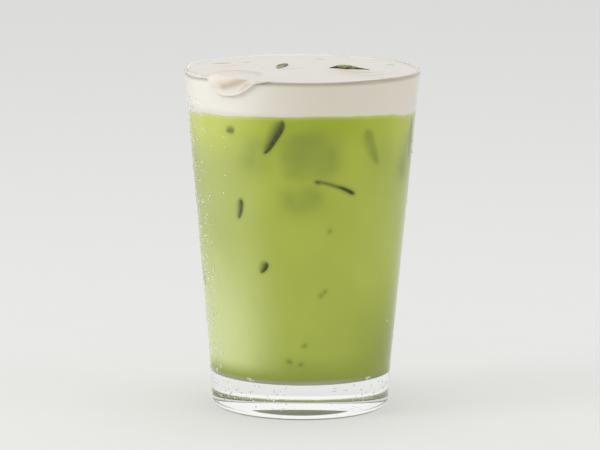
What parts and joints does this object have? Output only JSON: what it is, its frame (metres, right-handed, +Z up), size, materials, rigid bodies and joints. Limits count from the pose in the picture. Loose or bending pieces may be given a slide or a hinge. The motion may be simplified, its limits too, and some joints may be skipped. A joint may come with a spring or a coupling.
{
  "type": "iced matcha latte in a glass",
  "caption": "Tall flared glass tumbler filled with iced green tea milk under a thick cap of cream that has run over the lip, with slivers of leaf on top.",
  "frame": {"origin": "centre of the ring the glass stands on, at the level of the table", "axes": "+Z up along the axis of the glass; the front, with the cream that ran over to its left, is towards -Y"},
  "size_m": [0.089, 0.089, 0.1298],
  "materials": {
    "glass": "clear, polished, with drops of water on the outside",
    "matcha": "opaque pale green milk, darker where ice and leaf lie near the glass",
    "cream": "soft, satin, slightly uneven",
    "leaf": "dark green, veined, moist"
  },
  "bodies": {
    "root": {"tumbler": "glass", "matcha_milk": "matcha", "cream_cap": "cream", "leaf_left": "leaf", "leaf_middle": "leaf", "leaf_right": "leaf"}
  },
  "joints": []
}
